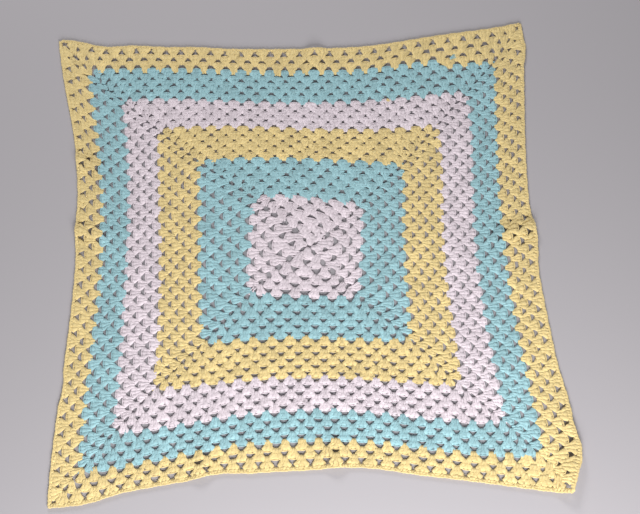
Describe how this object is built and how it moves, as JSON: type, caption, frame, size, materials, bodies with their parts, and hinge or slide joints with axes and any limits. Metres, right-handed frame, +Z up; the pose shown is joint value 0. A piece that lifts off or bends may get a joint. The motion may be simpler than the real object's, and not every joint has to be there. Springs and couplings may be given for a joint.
{
  "type": "granny square blanket",
  "caption": "Flat open crochet blanket worked in rounds as one large granny square, with bands of white, turquoise and yellow yarn and sides that bow inwards.",
  "frame": {"origin": "middle of the outline's box, on the surface that the blanket lies on", "axes": "+Z up out of the laid-out blanket, +Y towards the far side, +X to the right"},
  "size_m": [0.7784, 0.7714, 0.0125],
  "materials": {
    "yellow_yarn": "matt, slightly fuzzy double knitting yarn",
    "turquoise_yarn": "matt, slightly fuzzy double knitting yarn",
    "white_yarn": "matt, slightly fuzzy double knitting yarn"
  },
  "bodies": {
    "root": {"blanket": "yellow_yarn"}
  },
  "joints": []
}
